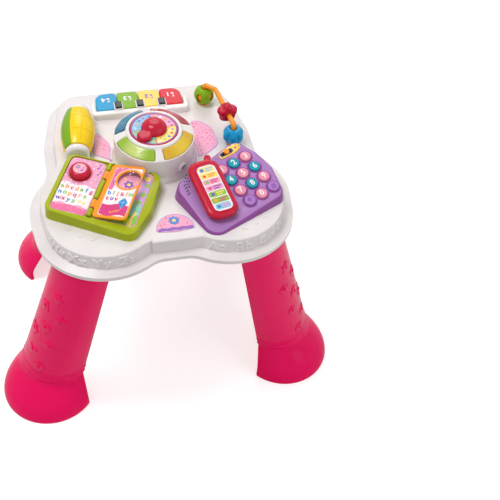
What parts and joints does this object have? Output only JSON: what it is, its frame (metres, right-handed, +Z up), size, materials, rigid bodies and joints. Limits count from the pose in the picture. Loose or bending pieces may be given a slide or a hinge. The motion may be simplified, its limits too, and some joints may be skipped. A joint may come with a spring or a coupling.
{
  "type": "musical activity table",
  "caption": "Low play table for standing toddlers: a white four-lobed panel with telephone, picture book, piano keys, roller, bead rail and light-up spinner, on splayed pull-off legs.",
  "frame": {"origin": "point on the floor under the axis of the central spinner", "axes": "+Z up, -Y the side where the child stands, +X the telephone side"},
  "size_m": [0.479, 0.374, 0.3719],
  "materials": {
    "black_key": "glossy black sharps with white rims",
    "blue": "glossy blue ABS moulding",
    "board_green": "green solder mask on laminate",
    "cell_sleeve": "printed cell sleeve",
    "crimson": "glossy crimson moulding",
    "green": "glossy green ABS moulding",
    "grey_mat": "grey silicone mat",
    "lens_amber": "clear-tinted amber polycarbonate",
    "lens_green": "clear-tinted green polycarbonate",
    "lens_red": "clear-tinted red polycarbonate",
    "lens_teal": "clear-tinted teal polycarbonate",
    "lime": "glossy lime green ABS moulding",
    "nickel": "nickel plated spring steel",
    "orange": "glossy orange moulding",
    "pink_key": "soft pink silicone",
    "pink_leg": "glossy deep pink ABS moulding",
    "print_film": "printed plastic film",
    "purple": "glossy orchid purple ABS moulding",
    "red": "glossy red ABS moulding",
    "speaker_black": "black frame and paper cone",
    "steel_pin": "drawn steel",
    "teal_key": "soft teal silicone",
    "violet_key": "soft violet silicone",
    "white_gloss": "glossy white ABS moulding",
    "white_housing": "satin white ABS moulding",
    "yellow": "glossy yellow ABS moulding",
    "zinc": "zinc plated steel"
  },
  "bodies": {
    "panel": {"top_shell": "white_housing", "bottom_shell": "white_housing", "batteries": "cell_sleeve", "battery_contacts": "nickel", "speaker": "speaker_black", "main_board": "board_green", "casing_screws": "zinc", "centre_dome": "white_gloss", "roller_axle": "steel_pin", "roller_cups": "white_gloss", "piano_block": "white_gloss", "key_rod": "steel_pin", "black_keys": "black_key", "bead_rail": "orange", "book_tray": "lime", "spine_pin": "steel_pin", "book_prints": "print_film", "phone_base": "purple", "key_mat": "grey_mat", "phone_label": "yellow", "deck_inlays": "print_film"},
    "battery_door": {"battery_door": "white_housing"},
    "leg_front_left": {"leg_front_left": "pink_leg"},
    "leg_front_right": {"leg_front_right": "pink_leg"},
    "leg_back_left": {"leg_back_left": "pink_leg"},
    "leg_back_right": {"leg_back_right": "pink_leg"},
    "spinner": {"dial_disc": "crimson", "spinner_cap": "red"},
    "lens_teal": {"lens_teal": "lens_teal"},
    "lens_red": {"lens_red": "lens_red"},
    "lens_green": {"lens_green": "lens_green"},
    "lens_amber": {"lens_amber": "lens_amber"},
    "roller": {"roller_drum": "yellow", "roller_staves": "green"},
    "key_blue": {"key_blue": "blue"},
    "key_green": {"key_green": "green"},
    "key_yellow": {"key_yellow": "yellow"},
    "key_red": {"key_red": "red"},
    "bead_green_core": {"bead_green_core": "orange"},
    "bead_green": {"bead_green": "green"},
    "bead_red_core": {"bead_red_core": "crimson"},
    "bead_red": {"bead_red": "crimson"},
    "bead_blue": {"bead_blue": "blue"},
    "page": {"turning_page": "orange", "page_print": "print_film"},
    "book_button": {"book_button": "crimson"},
    "phone_key_0": {"phone_key_0": "pink_key"},
    "phone_key_1": {"phone_key_1": "pink_key"},
    "phone_key_2": {"phone_key_2": "teal_key"},
    "phone_key_3": {"phone_key_3": "pink_key"},
    "phone_key_4": {"phone_key_4": "teal_key"},
    "phone_key_5": {"phone_key_5": "pink_key"},
    "phone_key_6": {"phone_key_6": "teal_key"},
    "phone_key_7": {"phone_key_7": "pink_key"},
    "phone_key_8": {"phone_key_8": "teal_key"},
    "phone_key_9": {"phone_key_9": "pink_key"},
    "phone_key_star": {"phone_key_star": "violet_key"},
    "phone_key_hash": {"phone_key_hash": "violet_key"},
    "handset": {"handset": "crimson"},
    "slider_knob": {"slider_knob": "orange"}
  },
  "joints": [
    {"name": "battery_door_lift", "type": "slide", "parent": "panel", "child": "battery_door", "axis": [0, 0, -1], "range_m": [0, 0.03]},
    {"name": "leg_front_left_pull", "type": "slide", "parent": "panel", "child": "leg_front_left", "axis": [0, 0, -1], "range_m": [0, 0.03]},
    {"name": "leg_front_right_pull", "type": "slide", "parent": "panel", "child": "leg_front_right", "axis": [0, 0, -1], "range_m": [0, 0.03]},
    {"name": "leg_back_left_pull", "type": "slide", "parent": "panel", "child": "leg_back_left", "axis": [0, 0, -1], "range_m": [0, 0.03]},
    {"name": "leg_back_right_pull", "type": "slide", "parent": "panel", "child": "leg_back_right", "axis": [0, 0, -1], "range_m": [0, 0.03]},
    {"name": "spinner_turn", "type": "hinge", "parent": "panel", "child": "spinner", "pos_m": [0, 0, 0.3525], "axis": [0, 0, 1], "continuous": true},
    {"name": "lens_teal_press", "type": "slide", "parent": "panel", "child": "lens_teal", "axis": [0, 0, -1], "range_m": [0, 0.0018], "stiffness_N_per_m": 900, "springref_m": -0.0006},
    {"name": "lens_red_press", "type": "slide", "parent": "panel", "child": "lens_red", "axis": [0, 0, -1], "range_m": [0, 0.0018], "stiffness_N_per_m": 900, "springref_m": -0.0006},
    {"name": "lens_green_press", "type": "slide", "parent": "panel", "child": "lens_green", "axis": [0, 0, -1], "range_m": [0, 0.0018], "stiffness_N_per_m": 900, "springref_m": -0.0006},
    {"name": "lens_amber_press", "type": "slide", "parent": "panel", "child": "lens_amber", "axis": [0, 0, -1], "range_m": [0, 0.0018], "stiffness_N_per_m": 900, "springref_m": -0.0006},
    {"name": "roller_turn", "type": "hinge", "parent": "panel", "child": "roller", "pos_m": [-0.0932, 0.0413, 0.329], "axis": [0.1265, 0.9875, 0.0941], "continuous": true},
    {"name": "key_blue_press", "type": "hinge", "parent": "panel", "child": "key_blue", "pos_m": [-0.0486, 0.091, 0.3195], "axis": [1, 0, 0], "range_deg": [-4, 0], "stiffness_Nm_per_rad": 1, "springref_deg": 0.86},
    {"name": "key_green_press", "type": "hinge", "parent": "panel", "child": "key_green", "pos_m": [-0.019, 0.091, 0.3195], "axis": [1, 0, 0], "range_deg": [-4, 0], "stiffness_Nm_per_rad": 1, "springref_deg": 0.86},
    {"name": "key_yellow_press", "type": "hinge", "parent": "panel", "child": "key_yellow", "pos_m": [0.0106, 0.091, 0.3195], "axis": [1, 0, 0], "range_deg": [-4, 0], "stiffness_Nm_per_rad": 1, "springref_deg": 0.86},
    {"name": "key_red_press", "type": "hinge", "parent": "panel", "child": "key_red", "pos_m": [0.0402, 0.091, 0.3195], "axis": [1, 0, 0], "range_deg": [-4, 0], "stiffness_Nm_per_rad": 1, "springref_deg": 0.86},
    {"name": "bead_green_core_turn", "type": "hinge", "parent": "panel", "child": "bead_green_core", "pos_m": [0.085, 0.096, 0.3274], "axis": [0, 0, 1], "continuous": true},
    {"name": "bead_green_turn", "type": "hinge", "parent": "bead_green_core", "child": "bead_green", "pos_m": [0.085, 0.096, 0.3274], "axis": [0, 0, 1], "continuous": true},
    {"name": "bead_red_slide", "type": "slide", "parent": "panel", "child": "bead_red_core", "axis": [0.1191, -0.9929, 0], "range_m": [-0.034, 0.0035]},
    {"name": "bead_red_turn", "type": "hinge", "parent": "bead_red_core", "child": "bead_red", "pos_m": [0.10376, 0.036, 0.344], "axis": [0.1191, -0.9929, 0], "continuous": true},
    {"name": "bead_blue_turn", "type": "hinge", "parent": "panel", "child": "bead_blue", "pos_m": [0.107, 0.009, 0.3274], "axis": [0, 0, 1], "continuous": true},
    {"name": "page_turn", "type": "hinge", "parent": "panel", "child": "page", "pos_m": [-0.0785, -0.06912, 0.33139], "axis": [-0.4352, -0.8969, -0.0785], "range_deg": [0, 168]},
    {"name": "book_button_press", "type": "slide", "parent": "panel", "child": "book_button", "axis": [0, 0.0872, -0.9962], "range_m": [0, 0.0025], "stiffness_N_per_m": 700, "springref_m": -0.0006},
    {"name": "phone_key_0_press", "type": "slide", "parent": "panel", "child": "phone_key_0", "axis": [0, 0.1736, -0.9848], "range_m": [0, 0.0012], "stiffness_N_per_m": 1000, "springref_m": -0.0003},
    {"name": "phone_key_1_press", "type": "slide", "parent": "panel", "child": "phone_key_1", "axis": [0, 0.1736, -0.9848], "range_m": [0, 0.0012], "stiffness_N_per_m": 1000, "springref_m": -0.0003},
    {"name": "phone_key_2_press", "type": "slide", "parent": "panel", "child": "phone_key_2", "axis": [0, 0.1736, -0.9848], "range_m": [0, 0.0012], "stiffness_N_per_m": 1000, "springref_m": -0.0003},
    {"name": "phone_key_3_press", "type": "slide", "parent": "panel", "child": "phone_key_3", "axis": [0, 0.1736, -0.9848], "range_m": [0, 0.0012], "stiffness_N_per_m": 1000, "springref_m": -0.0003},
    {"name": "phone_key_4_press", "type": "slide", "parent": "panel", "child": "phone_key_4", "axis": [0, 0.1736, -0.9848], "range_m": [0, 0.0012], "stiffness_N_per_m": 1000, "springref_m": -0.0003},
    {"name": "phone_key_5_press", "type": "slide", "parent": "panel", "child": "phone_key_5", "axis": [0, 0.1736, -0.9848], "range_m": [0, 0.0012], "stiffness_N_per_m": 1000, "springref_m": -0.0003},
    {"name": "phone_key_6_press", "type": "slide", "parent": "panel", "child": "phone_key_6", "axis": [0, 0.1736, -0.9848], "range_m": [0, 0.0012], "stiffness_N_per_m": 1000, "springref_m": -0.0003},
    {"name": "phone_key_7_press", "type": "slide", "parent": "panel", "child": "phone_key_7", "axis": [0, 0.1736, -0.9848], "range_m": [0, 0.0012], "stiffness_N_per_m": 1000, "springref_m": -0.0003},
    {"name": "phone_key_8_press", "type": "slide", "parent": "panel", "child": "phone_key_8", "axis": [0, 0.1736, -0.9848], "range_m": [0, 0.0012], "stiffness_N_per_m": 1000, "springref_m": -0.0003},
    {"name": "phone_key_9_press", "type": "slide", "parent": "panel", "child": "phone_key_9", "axis": [0, 0.1736, -0.9848], "range_m": [0, 0.0012], "stiffness_N_per_m": 1000, "springref_m": -0.0003},
    {"name": "phone_key_star_press", "type": "slide", "parent": "panel", "child": "phone_key_star", "axis": [0, 0.1736, -0.9848], "range_m": [0, 0.0012], "stiffness_N_per_m": 1000, "springref_m": -0.0003},
    {"name": "phone_key_hash_press", "type": "slide", "parent": "panel", "child": "phone_key_hash", "axis": [0, 0.1736, -0.9848], "range_m": [0, 0.0012], "stiffness_N_per_m": 1000, "springref_m": -0.0003},
    {"name": "handset_lift", "type": "slide", "parent": "panel", "child": "handset", "axis": [0, -0.1736, 0.9848], "range_m": [0, 0.04]},
    {"name": "slider_knob_slide", "type": "slide", "parent": "panel", "child": "slider_knob", "axis": [0.8942, 0.441, 0.0778], "range_m": [-0.006, 0.006]}
  ]
}
